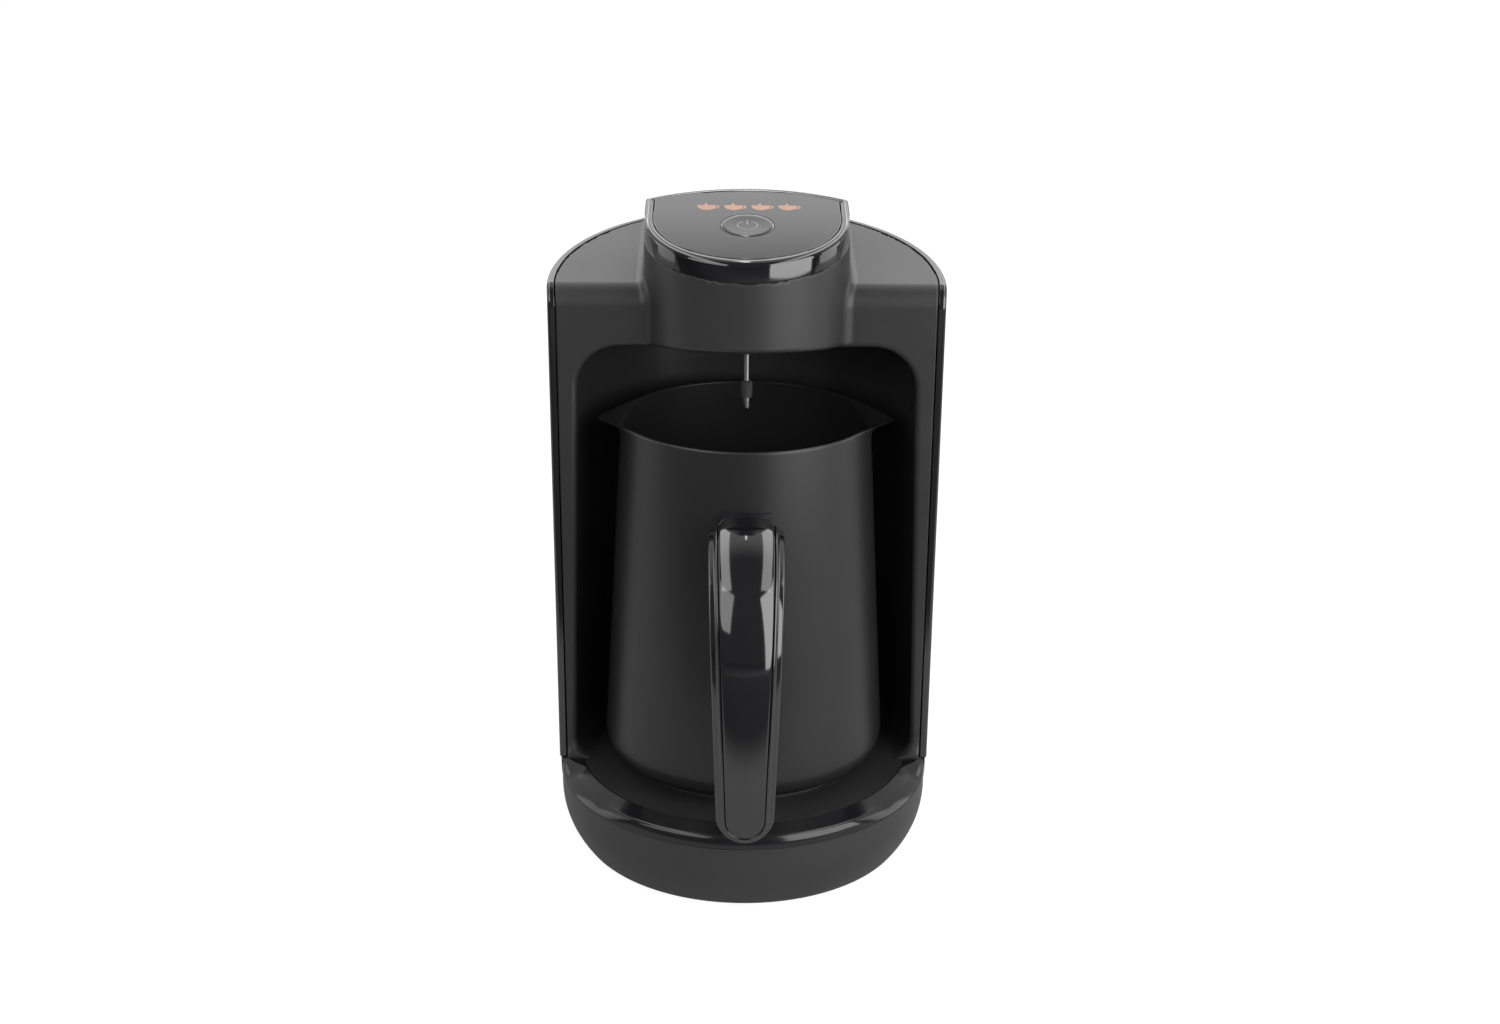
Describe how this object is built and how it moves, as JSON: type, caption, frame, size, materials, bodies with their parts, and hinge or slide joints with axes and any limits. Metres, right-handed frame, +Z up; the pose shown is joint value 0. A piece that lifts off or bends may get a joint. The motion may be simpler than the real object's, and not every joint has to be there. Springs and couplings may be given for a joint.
{
  "type": "coffee maker",
  "caption": "Electric pot coffee maker: round heated base, half-round column with a pot bay, head with tilted control deck and boil probe, and a lift-off twin-spout pot with a bowed handle.",
  "frame": {"origin": "under the middle of the whole object, on the table that the rubber feet stand on; the pot's vertical axis is 9 mm behind it and the column's flat front passes through it", "axes": "+Z up, +X to the right as seen by the user, -Y towards the user (handle side), +Y towards the back shell"},
  "size_m": [0.131, 0.149, 0.2267],
  "materials": {
    "matte_black": "fine satin texture, moulded",
    "gloss_black": "high gloss, moulded",
    "pot_black": "satin non-stick coat on steel",
    "deck_black": "polished panel",
    "copper_sign": "copper coloured foil",
    "sign_grey": "etched",
    "plate_coat": "dark coated aluminium",
    "bright_steel": "bright",
    "dull_steel": "pressed sheet",
    "black_rubber": "soft black",
    "ceramic": "unglazed",
    "board": "lacquered board",
    "board_parts": "moulded parts",
    "lead_grey": "flat lead",
    "clear_guide": "clear acrylic"
  },
  "bodies": {
    "machine": {"base_skirt": "matte_black", "bottom_cover": "matte_black", "rubber_feet": "black_rubber", "cover_screws": "bright_steel", "base_rim": "gloss_black", "base_floor": "matte_black", "plate_seal": "black_rubber", "heating_plate": "plate_coat", "heating_element": "dull_steel", "heat_shield": "dull_steel", "sensor_holder": "ceramic", "sensor_spring": "bright_steel", "thermal_fuse": "ceramic", "power_board": "board", "power_parts": "board_parts", "wire_harness": "lead_grey", "cord_gland": "black_rubber", "front_cover": "matte_black", "back_shell": "gloss_black", "shell_screws": "bright_steel", "head_band": "gloss_black", "deck_panel": "deck_black", "deck_carrier": "matte_black", "cup_signs": "copper_sign", "light_guides": "clear_guide", "indicator_leds": "ceramic", "control_board": "board", "buzzer": "black_rubber", "button_switch": "board_parts", "probe_holder": "black_rubber", "probe_rod": "bright_steel", "probe_collar": "black_rubber", "probe_tip": "bright_steel"},
    "button": {"power_button": "deck_black", "power_sign": "sign_grey", "switch_stem": "ceramic"},
    "plate_sensor": {"sensor_button": "bright_steel"},
    "pot": {"pot_body": "pot_black", "handle_bracket": "dull_steel", "handle_frame": "matte_black", "handle_cover": "gloss_black", "handle_screw": "bright_steel"}
  },
  "joints": [
    {"name": "pot_slide", "type": "slide", "parent": "machine", "child": "pot", "axis": [0, -1, 0], "range_m": [0, 0.13]},
    {"name": "button_press", "type": "slide", "parent": "machine", "child": "button", "axis": [0, 0.225, -0.9744], "range_m": [0, 0.0006], "stiffness_N_per_m": 600},
    {"name": "sensor_press", "type": "slide", "parent": "machine", "child": "plate_sensor", "axis": [0, 0, -1], "range_m": [0, 0.0015], "stiffness_N_per_m": 300, "deforming": ["sensor_spring"]}
  ]
}
